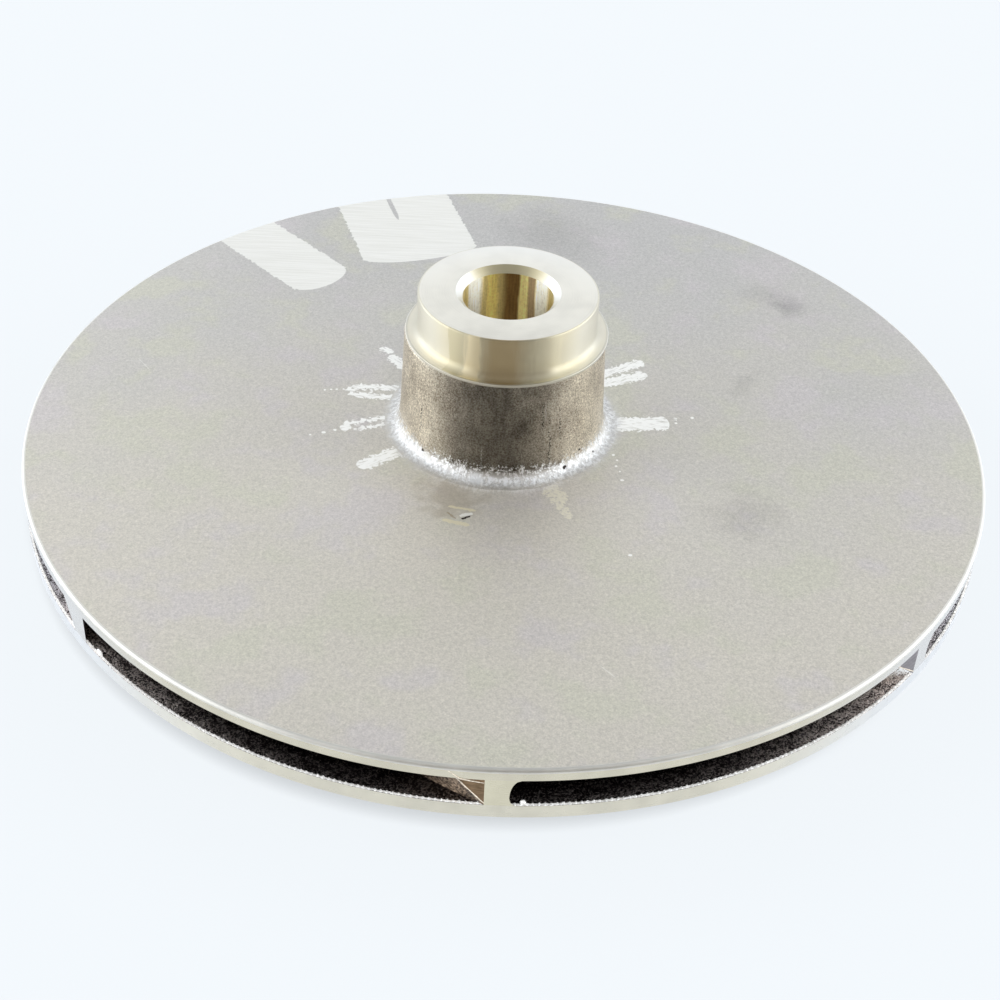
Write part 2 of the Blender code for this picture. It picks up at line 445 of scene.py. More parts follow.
def brushed_ring(place, x, y, z, skin):
    """The corner between boss and back face, where a wire wheel has picked the skin bright."""
    radius = from_axis(x, y)
    unrolled = {"X": turn_of(y, x) * 0.030, "Y": radius * 0.3, "Z": z * 0.3}
    scratches = speckle(place.node("ShaderNodeCombineXYZ", {}, unrolled), 1500.0, 3.0, 0.7)
    flakes = speckle(place, 950.0, 2.0, 0.6)
    picked = speckle(place, 2100.0, 2.0, 0.6) + 0.6 * scratches + 0.8 * flakes
    wander = speckle(place, 160.0)
    ragged = 0.0050 * wander + 0.0050 * scratches + 0.0030 * picked
    inside = ease(radius + ragged, BRUSHED_RADIUS + 0.0038, BRUSHED_RADIUS - 0.0010)
    above_face = z - BACK_FACE
    ragged_height = above_face + ragged + 0.0080 * scratches
    ring = inside * ease(ragged_height, BRUSHED_HEIGHT + 0.0005, BRUSHED_HEIGHT - 0.0005)
    hazed = ring * ease(above_face, 0.0035, 0.0010)
    cover = ease(picked + 0.7 * wander + 0.20 * ring - 40.0 * above_face, -0.02, 0.20)
    # Painted light: the ring is made lighter in front and darker towards the left and right sides.
    painted_side_shade = 0.32 * ease(abs(x), 0.008, 0.024)
    brushed = tint(ease(flakes + 0.3 * scratches, -0.14, 0.12), RING_SHADOW, RING_BRIGHT)
    haze = shade(tint(ease(picked, -0.3, 0.3), RING_HAZE, RING_BRIGHT), 1.10 - painted_side_shade)
    colour = tint(ring * cover, tint(0.75 * hazed, skin, haze), shade(brushed, 1.25 - painted_side_shade))
    for mark_x, mark_y, mark_height, size, mark_colour in RING_MARKS:
        level = from_axis(x - mark_x, y - mark_y)
        far = from_axis(level, above_face - mark_height) + 0.0008 * picked
        colour = tint(ease(far, size, 0.5 * size), colour, mark_colour)
    return colour, ring, picked


SKIN_RELIEF = 0.00006
SKIN_COOL = (0.525, 0.515, 0.500, 1.0)
SKIN_WARM = (0.595, 0.565, 0.505, 1.0)
SKIN_LILAC = (0.575, 0.540, 0.545, 1.0)
SKIN_OLIVE = (0.570, 0.565, 0.470, 1.0)
# Grey smudges: x, y, size, how far the edge wanders, and how dark.
SMUDGES = (
    (0.0844, 0.0652, 0.0078, 0.010, 0.25), (0.0767, 0.0720, 0.0100, 0.012, 0.08),
    (0.0622, -0.0395, 0.0140, 0.030, 0.12), (0.0659, 0.0243, 0.0080, 0.030, 0.10),
    (0.0140, 0.1020, 0.0240, 0.030, 0.12),
)


def mottled_skin(place, x, y, grain):
    """Blasted skin: warm in front, cool behind, mottled, smudged in a few places, with painted light left
    and before the hub.
    """
    colour = tint(ease(y + 0.16 * speckle(place, 18.0), 0.13, -0.09), SKIN_COOL, SKIN_WARM)
    mottled = speckle(place, 42.0, 3.0, 0.6)
    colour = tint(0.55 * ease(mottled, 0.02, 0.16), colour, SKIN_LILAC)
    colour = tint(0.55 * ease(mottled, -0.02, -0.16), colour, SKIN_OLIVE)
    smudge = 0.0
    smudge_edge = speckle(place, 90.0)
    for smudge_x, smudge_y, size, wander, darkness in SMUDGES:
        far = from_axis(x - smudge_x, y - smudge_y) + wander * smudge_edge
        smudge = smudge + darkness * ease(far, size, 0.1 * size)
    # Painted light: the skin is lighter towards the left, where the tent glows most, and just before the
    # hub.
    before_hub = ease(from_axis(x, y), 0.090, 0.045) * ease(y, -0.01, -0.04)
    painted_light = 0.07 * ease(x, -0.03, -0.12) + 0.07 * before_hub
    return shade(colour, 1.03 + painted_light + 0.50 * grain + 0.30 * speckle(place, 900.0) - smudge)


# Marks on the back face: from, to, half width and rounded nose, in millimetres.
BALANCE_PATCHES = (
    ((-55, 66.5), (-101, 113), 10.3, 6),
    ((-27, 83.8), (-44, 134), 18.7, 5),
)
MISSED_BY_GRINDER = ((-37, 108.5), (-44, 130), 0.9, 6)
FETTLING_STROKES = (
    ((-27.5, 22), (-33.5, 29), 1.8, 2),
    ((-32.5, 30.5), (-36.8, 32.5), 1.4, 1.5),
    ((-28.5, 12.6), (-43, 12.2), 1.4, 2),
    ((-28, 7.8), (-42, 8.3), 1.4, 2),
    ((-41.8, 8), (-43.7, 12.2), 1.2, 1),
    ((-29, -0.8), (-43.5, -5.8), 1, 1.5),
    ((-30, -4.6), (-40.5, -8.2), 0.9, 1.5),
    ((-41.2, -6.8), (-44.2, -7.8), 1.8, 1.2),
    ((-26, -16.2), (-37.8, -24.8), 2.4, 2.5),
    ((27, 23.8), (40, 31.5), 1.8, 1.5),
    ((27, 19), (40.8, 25.2), 2.2, 2),
    ((30, -0.2), (46, 1.6), 3.2, 1.5),
    ((47.5, 3.2), (48.2, 4.2), 0.6, 0.5),
)
BRASSY_STROKES = (
    ((12.5, -29), (16.8, -35.8), 2.4, 1.2),
    ((15, -34), (18.6, -42.5), 1.3, 2),
)
HAIR_SCRATCHES = (
    ((25.1, -95.6), (28.9, -99.6), 0.22, 1),
    ((52.8, -34.1), (55.6, -30.9), 0.15, 1),
    ((-117.4, -35.5), (-81.8, -28.4), 0.1, 4),
    ((-70.1, 31.3), (-61, 40.1), 0.1, 2),
    ((-102.4, -44), (-98.8, -42.5), 0.2, 1),
    ((-109, 20.3), (-103.2, 20.2), 0.22, 1),
    ((-105.5, 21.6), (-100.9, 15.8), 0.22, 1),
)
# Dots where the grinder left the metal: x, y and radius, in millimetres.
TAIL_DOTS = (
    (-43.6, 10.9, 0.6), (-45.1, 10.8, 0.4), (-47, 10.6, 0.5),
    (-48.6, 10.4, 0.4), (-50.3, 10, 0.4), (-45.5, -8.7, 0.6),
    (-48.4, -10.1, 0.7), (-51.9, -11.5, 0.5), (33.5, -55.6, 0.6),
    (30.2, -14.2, 0.5), (31.2, -16.5, 0.4), (30.9, -19.2, 0.5),
    (31.8, -21.4, 0.3), (32.3, -25.1, 0.5), (52.5, 4.7, 0.6),
    (47.9, 1.8, 0.5),
)
GROUND_DARK = (0.71, 0.70, 0.65, 1.0)
GROUND_BRIGHT = (0.80, 0.79, 0.75, 1.0)
BRASSY = (0.76, 0.71, 0.53, 1.0)
PALE_BRASSY = (0.80, 0.77, 0.65, 1.0)
BRUSHED = (0.84, 0.83, 0.79, 1.0)
STAIN_BROWN = (0.36, 0.30, 0.21, 1.0)
# A flaw in the casting in front of the boss: a brown stain, pale ridges, and an open pit that is
# painted dark for its shade, with a painted highlight on its edge. Each mark of it has its streak,
# its strength and its colour.
FLAW_STAIN = (-12, -35)
FLAW_MARKS = (
    (((-13, -39.6), (-5.6, -41), 0.6, 1), 0.8, BRASSY),
    (((-14.2, -45.2), (-7, -47), 0.8, 1), 0.8, BRASSY),
    (((-13.1, -42), (-10.6, -44.6), 0.4, 0.5), 0.7, STAIN_BROWN),
    # A painted highlight on the pit's edge.
    (((-9.8, -43.4), (-6.4, -42.2), 0.75, 0.5), 1.0, BRUSHED),
    # The pit, painted dark for the shade inside it.
    (((-9.3, -44.6), (-7, -43.2), 0.5, 0.4), 1.0, PAINTED_PIT_SHADE),
)
BRUSH_STRETCH = (60.0, 1700.0, 60.0)
BRUSH_TURN = math.radians(-8)


def mark_back_face(place, x, y, z, colour):
    """Everything ground or scratched into the back face, and a mask of what is ground bright."""
    ragged = 0.0022 * speckle(place, 900.0, 2.0)
    missed = streak(x, y, MISSED_BY_GRINDER, 0.3 * ragged)
    patches = marked(x, y, BALANCE_PATCHES, ragged) * (1.0 - missed)
    polar = {"X": 0.035 * turn_of(y, x), "Y": 0.10 * from_axis(x, y)}
    breaks = speckle(place.node("ShaderNodeCombineXYZ", {}, polar), 2600.0, 3.0, 0.6)
    strokes = marked(x, y, FETTLING_STROKES, 2.2 * ragged) * ease(breaks, -0.16, -0.02)
    for dot_x, dot_y, size in metres(TAIL_DOTS):
        strokes = larger(strokes, ease(from_axis(x - dot_x, y - dot_y) + 0.3 * ragged, size, 0.6 * size))
    brassy = marked(x, y, BRASSY_STROKES, 2.0 * ragged) * ease(speckle(place, 1100.0), -0.20, 0.04)
    up = ease(z, BACK_FACE - 0.0004, BACK_FACE - 0.0002)
    colour = tint(brassy * up * 0.8, colour, PALE_BRASSY)
    colour = tint(marked(x, y, HAIR_SCRATCHES, 0.05 * ragged) * up * 0.7, colour, BRUSHED)
    flaw_x, flaw_y = metres(FLAW_STAIN)
    from_flaw = from_axis(x - flaw_x, y - flaw_y) + 0.020 * speckle(place, 200.0)
    colour = tint(ease(from_flaw, 0.0110, 0.0030) * up * 0.38, colour, STAIN_BROWN)
    for mark, strength, mark_colour in FLAW_MARKS:
        colour = tint(streak(x, y, mark, 0.6 * ragged) * up * strength, colour, mark_colour)
    brush_lines = speckle(stretched(place, BRUSH_STRETCH, BRUSH_TURN), 1.0, 3.0)
    colour = tint(patches * up, colour, tint(ease(brush_lines, -0.3, 0.3), GROUND_DARK, GROUND_BRIGHT))
    colour = tint(strokes * up, colour, BRUSHED)
    return colour, larger(patches, strokes) * up


def blasted_skin():
    """The matt skin of both shrouds, with what was ground and brushed on the back face."""
    finish, shader, place = start_finish("blasted cast skin", 0.955)
    x, y, z = axes(place)
    grain = speckle(place, 2400.0, 1.0)
    colour, bright = mark_back_face(place, x, y, z, mottled_skin(place, x, y, grain))
    colour, ring, picked = brushed_ring(place, x, y, z, colour)
    feed(shader, "Base Color", colour)
    feed(shader, "Roughness", 0.61 - 0.20 * bright + 0.10 * grain)
    relief = grain + 0.4 * speckle(place, 800.0, 2.0) + 1.5 * picked * ring
    feed(shader, "Normal", raise_surface(relief, SKIN_RELIEF))
    return finish


TOOL_RINGS_PER_METRE = 5200.0
TOOL_RELIEF = 0.000020
TOOL_CLIMB = 1.37
SHEEN_BRONZE = (0.77, 0.765, 0.76, 1.0)


def turned_bronze(name, colour, roughness, smear, sheen_from=0.44, pale=SHEEN_BRONZE, reflection_bands=(), streaks=0.0):
    """Bright turned metal, ringed finely by the tool, with a painted sheen that lightens it where it is
    seen edge on.

    Bands are painted reflections that run along the axis: for each, its two angles from the far side,
    its blurs at both, and its colour. Streaks are fine lines that darken and lighten the metal.
    """
    finish, shader, place = start_finish(name, 1.0)
    shader.inputs["Anisotropic"].default_value = smear
    shader.inputs["Anisotropic Rotation"].default_value = 0.25
    x, y, z = axes(place)
    across_rings = from_axis(x, y) + TOOL_CLIMB * z
    ring_sockets = {"W": across_rings, "Scale": TOOL_RINGS_PER_METRE, "Detail": 2.0}
    rings = place.node("ShaderNodeTexNoise", {"noise_dimensions": "1D"}, ring_sockets) - 0.5
    darker = [0.90 * part for part in colour[:3]] + [1.0]
    metal = tint(ease(speckle(place, 120.0) + 0.5 * rings, -0.2, 0.2), darker, colour)
    # Painted sheen: the metal is made lighter where the surface is seen edge on.
    metal = tint(ease(seen_edge_on(place), sheen_from, sheen_from + 0.32), metal, pale)
    from_far_side = turn_of(x, y) + 0.14 * speckle(stretched(place, (700.0, 700.0, 80.0)), 1.0, 3.0)
    for first, last, first_blur, last_blur, reflection_colour in reflection_bands:
        rising = ease(from_far_side, math.radians(first - first_blur), math.radians(first + first_blur))
        falling = ease(from_far_side, math.radians(last + last_blur), math.radians(last - last_blur))
        metal = tint(rising * falling, metal, reflection_colour)
    if streaks:
        lines = speckle(stretched(place, (1700.0, 1700.0, 150.0)), 1.0, 3.0)
        metal = shade(metal, 1.0 + streaks * (lines + 0.6 * speckle(place, 1500.0)))
    feed(shader, "Base Color", metal)
    feed(shader, "Roughness", roughness + 0.12 * speckle(place, 350.0) + 0.10 * rings)
    feed(shader, "Normal", raise_surface(rings, TOOL_RELIEF))
    return finish


CORE_RELIEF = 0.00045
CORE_GREY = (0.66, 0.64, 0.67, 1.0)
LIT_AT_SIDES = 1.45


def core_skin(name, dark, pale, lit_in_front, grains_per_metre):
    """The rough skin that the sand core leaves in the passages, with painted shade deep inside and painted
    light by the rim, the sides and the eye.
    """
    finish, shader, place = start_finish(name, 1.0)
    x, y = axes(place)[:2]
    radius = from_axis(x, y)
    sand = speckle(place, grains_per_metre, 2.0, 0.7)
    lumps = speckle(place, 350.0, 3.0)
    # Painted light and shade: the skin is lighter near the rim, at the left and right sides and in the
    # eye, and darker deep inside.
    by_rim = ease(radius, 0.1200, RIM_RADIUS)
    by_side = ease(abs(x), 0.035, 0.115)
    grains = ease(sand + 0.4 * lumps + 0.10 * by_rim + 0.06 * by_side - 0.10, -0.08, 0.11)
    colour = tint(grains, dark, tint(ease(abs(x), 0.095, 0.118), pale, CORE_GREY))
    lit = (0.35 + 0.75 * by_rim) * (lit_in_front + (LIT_AT_SIDES - lit_in_front) * by_side)
    colour = shade(colour, larger(lit, 0.9 * ease(radius, 0.085, 0.060)))
    feed(shader, "Base Color", colour)
    feed(shader, "Roughness", 0.45 + 0.6 * sand)
    feed(shader, "Normal", raise_surface(sand + lumps, CORE_RELIEF))
    return finish


RIM_BRONZE = (0.73, 0.68, 0.55, 1.0)
EDGE_BRONZE = (0.80, 0.78, 0.72, 1.0)
EDGE_SHEEN = (0.90, 0.90, 0.88, 1.0)
PASSAGE_DARK = (0.030, 0.022, 0.022, 1.0)
PASSAGE_PALE = (0.62, 0.55, 0.51, 1.0)
blasted = blasted_skin()
turned_rim = turned_bronze("turned rim", RIM_BRONZE, 0.25, 0.6)
turned_edge = turned_bronze("turned edge", EDGE_BRONZE, 0.50, 0.0, 0.44, EDGE_SHEEN)
passage = core_skin("rough passage skin", PASSAGE_DARK, PASSAGE_PALE, 0.44, 2200.0)

shroud_outline = [(WEB_RADIUS, BACK_FACE), (FACE_RING_RADIUS, BACK_FACE)]
shroud_outline += arc((RIM_RADIUS - RIM_ROUNDING, BACK_FACE - RIM_ROUNDING), RIM_ROUNDING, 90.0, 0.0, 6)
shroud_outline.append((RIM_RADIUS, ROOF_RIM))
shroud_outline += along(roof_height, ROOF_TURN_RADIUS, WEB_RADIUS, 8)
back_shroud = turn_body("back_shroud_casting", shroud_outline, RIM_STEPS)
rounding_starts = RIM_RADIUS - 0.9 * RIM_ROUNDING
finish_faces(back_shroud, blasted)
finish_faces(back_shroud, turned_edge, lambda middle, normal: span(middle) > rounding_starts)
finish_faces(back_shroud, turned_rim, lambda middle, normal: abs(normal.z) < 0.1)
finish_faces(back_shroud, passage, lambda middle, normal: normal.z < -0.3)
round_off(back_shroud)
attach(back_shroud, "root")
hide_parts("back_shroud")


# The hub is a cast boss with a turned spigot on its end and the shaft bore through it. Its
# wall keeps the mould's marks, and its foot was cleaned with a wire wheel.
HUB_END = hub_high[2]
BORE_RADIUS = 0.0120
BORE_MOUTH_CHAMFER = 0.0018
NOSE_CHAMFER = 0.0010
SPIGOT_RADIUS = 0.0238
SPIGOT_EDGE = 0.0005
SPIGOT_FILLET = 0.0025
LEDGE = BACK_FACE + 0.0296
LEDGE_RADIUS = 0.0269
LEDGE_THICKNESS = 0.0006
LEDGE_EDGE = 0.0001
BOSS_TOP_RADIUS = 0.0267
BOSS_FOOT_RADIUS = 0.0278
BOSS_FILLET = 0.0042
BOSS_OFF_CENTRE = -0.0004
BOSS_RINGS = 20
BOSS_TOP = LEDGE - LEDGE_THICKNESS - 0.0002
BOSS_LEAST_RADIUS = 0.0262
BOSS_MOST_RADIUS = 0.0330
BLASTED_RADIUS = 0.0318
BOSS_RELIEF = 0.00016
BOSS_DARK = (0.155, 0.122, 0.088, 1.0)
BOSS_PALE = (0.57, 0.53, 0.445, 1.0)
# Scores up and down the boss: angle, lowest, highest, half width, and bright or dark.
SCORES = (
    (-140.5, 0.0070, 0.0165, 0.00030, False), (-67.2, 0.0150, 0.0240, 0.00028, False),
    (-62.6, 0.0040, 0.0130, 0.00040, False), (-63.4, 0.0115, 0.0190, 0.00028, False),
    (-56.4, 0.0100, 0.0215, 0.00030, False), (-100.4, 0.0010, 0.0110, 0.00022, True),
    (-65.6, 0.0170, 0.0240, 0.00018, True),
)


def boss_skin():
    """The boss's cast wall: brown and gritty, darkest in front by painted shade, with a painted sheen seen
    edge on, scored in a few places.
    """
    finish, shader, place = start_finish("cast boss skin", 1.0)
    x, y, z = axes(place)
    grit = speckle(place, 2300.0, 3.0, 0.6)
    patchy = speckle(place, 130.0, 3.0)
    runs = speckle(stretched(place, (500.0, 500.0, 130.0)), 1.0, 3.0)
    height = z - BACK_FACE
    colour = tint(ease(grit + 0.30 * patchy, -0.30, 0.34), BOSS_DARK, BOSS_PALE)
    # Painted shade darkens the wall in front. The painted sheen lightens it where it is seen edge on.
    painted_front_shade = ease(abs(x + 0.003 + 0.012 * patchy), 0.019, 0.004) * ease(y, 0.0, -0.010)
    edge_on_sheen = 0.80 * ease(seen_edge_on(place), 0.16, 0.50)
    colour = shade(colour, 1.05 - 0.57 * painted_front_shade + edge_on_sheen + 0.6 * runs + 0.5 * patchy)
    angle = turn_of(y, x) + 0.05 * speckle(stretched(place, (150.0, 150.0, 700.0)), 1.0, 3.0)
    scored = 0.0
    for score_angle, lowest, highest, half_width, is_bright in SCORES:
        across = abs(angle - math.radians(score_angle)) * BOSS_TOP_RADIUS
        score = ease(across, half_width, 0.4 * half_width) * ease(height, lowest, lowest + 0.001)
        score = score * ease(height, highest, highest - 0.002) * ease(grit, 0.06, -0.06)
        if is_bright:
            colour = tint(score * 0.4, colour, BRUSHED)
        else:
            scored = larger(score, scored)
    colour = shade(colour, 1.0 - 0.80 * scored)
    colour = tint(ease(height, 0.0035, 0.0008), colour, SKIN_WARM)
    colour, ring, picked = brushed_ring(place, x, y, z, colour)
    feed(shader, "Base Color", colour)
    feed(shader, "Roughness", 0.40 + 0.30 * grit + 0.08 * ring)
    feed(shader, "Normal", raise_surface(grit * (1.0 - ring) + 0.9 * picked * ring, BOSS_RELIEF))
    return finish


END_BRONZE = (0.815, 0.785, 0.70, 1.0)
LIP_BRONZE = (0.66, 0.63, 0.54, 1.0)
MOUTH_BRONZE = (0.56, 0.50, 0.33, 1.0)
MOUTH_SHEEN = (0.86, 0.86, 0.84, 1.0)
SPIGOT_BRONZE = (0.70, 0.63, 0.45, 1.0)
SPIGOT_SHEEN = (0.745, 0.71, 0.60, 1.0)
SPIGOT_DARK_REFLECTION = (0.56, 0.45, 0.27, 1.0)
BORE_BRONZE = (0.74, 0.60, 0.26, 1.0)
BORE_WHITE_REFLECTION = (1.0, 0.97, 0.84, 1.0)
BORE_DARK_REFLECTION = (0.23, 0.135, 0.045, 1.0)
BORE_METALLIC = 0.92
# Stripes of painted reflection on the spigot and in the bore, where the tent and its dark opening would be
# mirrored.
SPIGOT_REFLECTION_BANDS = (
    (145.0, 163.0, 5.0, 4.0, (0.79, 0.73, 0.54, 1.0)),
    (171.0, 200.0, 6.0, 1.0, SPIGOT_DARK_REFLECTION), (-200.0, -168.0, 1.0, 5.0, SPIGOT_DARK_REFLECTION),
    (-164.5, -154.0, 1.5, 2.5, (0.88, 0.77, 0.52, 1.0)),
    (-153.5, -142.0, 2.5, 0.8, (0.60, 0.54, 0.37, 1.0)),
)
BORE_REFLECTION_BANDS = (
    (-63.0, -38.0, 3.0, 4.0, BORE_WHITE_REFLECTION), (-29.0, -15.0, 3.0, 3.0, (1.0, 0.82, 0.28, 1.0)),
    (-7.0, 13.5, 6.0, 1.5, BORE_DARK_REFLECTION), (15.0, 25.0, 1.5, 2.0, (1.0, 0.87, 0.38, 1.0)),
    (26.0, 37.0, 2.0, 1.5, (0.44, 0.32, 0.18, 1.0)), (38.0, 60.0, 1.5, 5.0, BORE_WHITE_REFLECTION),
)
turned_spigot = turned_bronze("turned spigot", SPIGOT_BRONZE, 0.40, 0.9, 0.20, SPIGOT_SHEEN, SPIGOT_REFLECTION_BANDS)
turned_lip = turned_bronze("turned lip", LIP_BRONZE, 0.40, 0.0, 0.44, EDGE_SHEEN)
faced_end = turned_bronze("faced end", END_BRONZE, 0.33, 0.0, 0.44, EDGE_SHEEN)
mouth = turned_bronze("turned bore mouth", MOUTH_BRONZE, 0.35, 0.0, 0.10, MOUTH_SHEEN)
bored = turned_bronze("bored bronze", BORE_BRONZE, 0.46, 1.0, 0.75, BORE_WHITE_REFLECTION, BORE_REFLECTION_BANDS, 0.9)
bored.node_tree.nodes["Principled BSDF"].inputs["Metallic"].default_value = BORE_METALLIC

hub_outline = [
    (BORE_RADIUS, NOSE_HEIGHT + NOSE_CHAMFER),
    (BORE_RADIUS, HUB_END - BORE_MOUTH_CHAMFER),
    (BORE_RADIUS + BORE_MOUTH_CHAMFER, HUB_END),
]
hub_outline += arc((SPIGOT_RADIUS - SPIGOT_EDGE, HUB_END - SPIGOT_EDGE), SPIGOT_EDGE, 90.0, 0.0, 3)
hub_outline += arc((SPIGOT_RADIUS + SPIGOT_FILLET, LEDGE + SPIGOT_FILLET), SPIGOT_FILLET, 180.0, 270.0, 8)
hub_outline += [(LEDGE_RADIUS - LEDGE_EDGE, LEDGE), (LEDGE_RADIUS, LEDGE - LEDGE_EDGE)]
hub_outline.append((LEDGE_RADIUS, LEDGE - LEDGE_THICKNESS))
for ring in range(BOSS_RINGS):
    share = ring / BOSS_RINGS
    ring_radius = blend(BOSS_TOP_RADIUS, BOSS_FOOT_RADIUS, share)
    hub_outline.append((ring_radius, blend(BOSS_TOP, BACK_FACE + BOSS_FILLET, share)))
hub_outline += arc((BOSS_FOOT_RADIUS + BOSS_FILLET, BACK_FACE + BOSS_FILLET), BOSS_FILLET, 180.0, 270.0, 8)
hub_outline.append((WEB_RADIUS, BACK_FACE))
hub_outline += along(roof_height, NOSE_RADIUS, WEB_RADIUS, 14, CROWDING)[::-1]
hub_outline.append((BORE_RADIUS + NOSE_CHAMFER, NOSE_HEIGHT))
hub = turn_body("hub_casting", hub_outline, RIM_STEPS)


def on_boss(corner):
    beside = BOSS_LEAST_RADIUS < span(corner) < BOSS_MOST_RADIUS
    return beside and BACK_FACE - NEAR < corner.z < BOSS_TOP + NEAR


select_corners(hub, on_boss)
bpy.ops.transform.translate(value=(BOSS_OFF_CENTRE, 0.0, 0.0))
stop_editing()


def on_web(middle, normal):
    return span(middle) > BLASTED_RADIUS and abs(middle.z - BACK_FACE) < NEAR


def on_ledge(middle, normal):
    return middle.z > LEDGE - LEDGE_THICKNESS and span(middle) > LEDGE_RADIUS - 0.0008


def in_mouth(middle, normal):
    depth = HUB_END - middle.z
    return 1e-4 < depth < BORE_MOUTH_CHAMFER and span(middle) < BORE_RADIUS + BORE_MOUTH_CHAMFER


def under_web(middle, normal):
    return normal.z < -0.1 and middle.z < ROOF_RIM and span(middle) > NOSE_RADIUS


def on_nose(middle, normal):
    return span(middle) < NOSE_RADIUS and middle.z < NOSE_HEIGHT + NOSE_CHAMFER


finish_faces(hub, boss_skin())
for finish, wanted in (
    (blasted, on_web),
    (turned_spigot, lambda middle, normal: middle.z > LEDGE - LEDGE_THICKNESS),
    (turned_lip, on_ledge),
    (faced_end, lambda middle, normal: middle.z > HUB_END - NEAR),
    (mouth, in_mouth),
    (bored, lambda middle, normal: span(middle) < BORE_RADIUS + 1e-4),
    (passage, under_web),
    (turned_edge, on_nose),
):
    finish_faces(hub, finish, wanted)
round_off(hub)
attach(hub, "root")
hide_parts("hub")


# The front shroud is the shallow dish in front of the vanes, cast with them. Its rim is turned,
# which drags a bright ragged burr over the edge of each outlet.
front_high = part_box("front_shroud")[1]
ring_low, ring_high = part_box("eye_ring")
FLOOR_RIM = front_high[2]
FRONT_RIM = 0.0140
EYE_RING_TOP = ring_high[2]
EYE_RING_RADIUS = ring_high[0]
EYE_RADIUS = 0.0385
EYE_THROAT = 0.0020
EYE_RING_FILLET = 0.0038
FLOOR_TURN_RADIUS = 0.057
FLOOR_TURN = FLOOR_RIM - 0.0037
UNDERSIDE_TURN_RADIUS = 0.054
UNDERSIDE_TURN = FRONT_RIM - 0.0044
TEETH = 600
STEPS_PER_TOOTH = 4
TOOTH_HEIGHT = 0.00036
FRONT_BRONZE = (0.83, 0.785, 0.66, 1.0)
FRONT_SHEEN = (0.82, 0.83, 0.85, 1.0)


def floor_height(radius):
    """Inner face of the front shroud: a shallow cone, then a quarter ellipse into the eye."""
    if radius > FLOOR_TURN_RADIUS:
        share = (radius - FLOOR_TURN_RADIUS) / (RIM_RADIUS - FLOOR_TURN_RADIUS)
        return blend(FLOOR_TURN, FLOOR_RIM, share)
    share = (FLOOR_TURN_RADIUS - radius) / (FLOOR_TURN_RADIUS - EYE_RADIUS)
    return EYE_THROAT + (FLOOR_TURN - EYE_THROAT) * math.sqrt(max(0.0, 1.0 - share * share))


def eye_radius_at(height):
    share = (height - EYE_THROAT) / (FLOOR_TURN - EYE_THROAT)
    return FLOOR_TURN_RADIUS - (FLOOR_TURN_RADIUS - EYE_RADIUS) * math.sqrt(1.0 - share * share)


throat = eye_radius_at(EYE_RING_TOP)
front_outline = along(floor_height, throat, FLOOR_TURN_RADIUS, 12, CROWDING)
front_outline += [
    (0.090, floor_height(0.090)),
    (RIM_RADIUS, FLOOR_RIM),
    (RIM_RADIUS, FRONT_RIM),
    (UNDERSIDE_TURN_RADIUS, UNDERSIDE_TURN),
]
front_outline += arc(
    (EYE_RING_RADIUS + EYE_RING_FILLET, UNDERSIDE_TURN - EYE_RING_FILLET), EYE_RING_FILLET, 90.0, 180.0, 8
)
front_outline.append((EYE_RING_RADIUS, EYE_RING_TOP))
front_shroud = turn_body("front_shroud_casting", front_outline, RIM_STEPS)


def on_floor(middle, normal):
    return normal.z > (0.3 if span(middle) > 0.06 else 0.0)


finish_faces(front_shroud, blasted)
finish_faces(front_shroud, passage, on_floor)
turned_front = turned_bronze("turned front rim", FRONT_BRONZE, 0.30, 0.9, 0.42, FRONT_SHEEN)
finish_faces(front_shroud, turned_front, lambda middle, normal: span(middle) > RIM_RADIUS - 0.0001)


def torn_bronze(name, dark, pale):
    """Fresh bright metal that the tool has torn and smeared over an edge."""
    finish, shader, place = start_finish(name, 0.8)
    tears = speckle(place, 2500.0, 2.0)
    feed(shader, "Base Color", tint(ease(tears, -0.2, 0.2), dark, pale))
    feed(shader, "Roughness", 0.5 + 0.4 * tears)
    feed(shader, "Normal", raise_surface(tears, 0.00005))
    return finish


burr_outline = [
    (RIM_RADIUS - 0.00003, FLOOR_RIM - 0.00035),
    (RIM_RADIUS - 0.00012, FLOOR_RIM + 0.00008),
    (RIM_RADIUS - 0.00060, FLOOR_RIM + 0.00012),
    (RIM_RADIUS - 0.00100, FLOOR_RIM - 0.00030),
]
burr = turn_body("burr", burr_outline, TEETH * STEPS_PER_TOOTH)


def join_to(body, addition):
    """Make an added body part of this one."""
    let_go()
    addition.select_set(True)
    body.select_set(True)
    bpy.context.view_layer.objects.active = body
    bpy.ops.object.join()


def on_tooth(corner):
    step = round(math.atan2(corner.y, corner.x) * TEETH * STEPS_PER_TOOTH / math.tau)
    return corner.z > FLOOR_RIM and step % STEPS_PER_TOOTH == 0


select_corners(burr, on_tooth)
bpy.ops.transform.translate(value=(0.0, 0.0, TOOTH_HEIGHT))
stop_editing()
select_corners(burr, lambda corner: corner.z > FLOOR_RIM)
bpy.ops.transform.vertex_random(offset=0.00012, seed=5)
stop_editing()
torn = torn_bronze("torn bronze", (0.74, 0.73, 0.70, 1.0), (0.96, 0.96, 0.95, 1.0))
finish_faces(burr, torn)

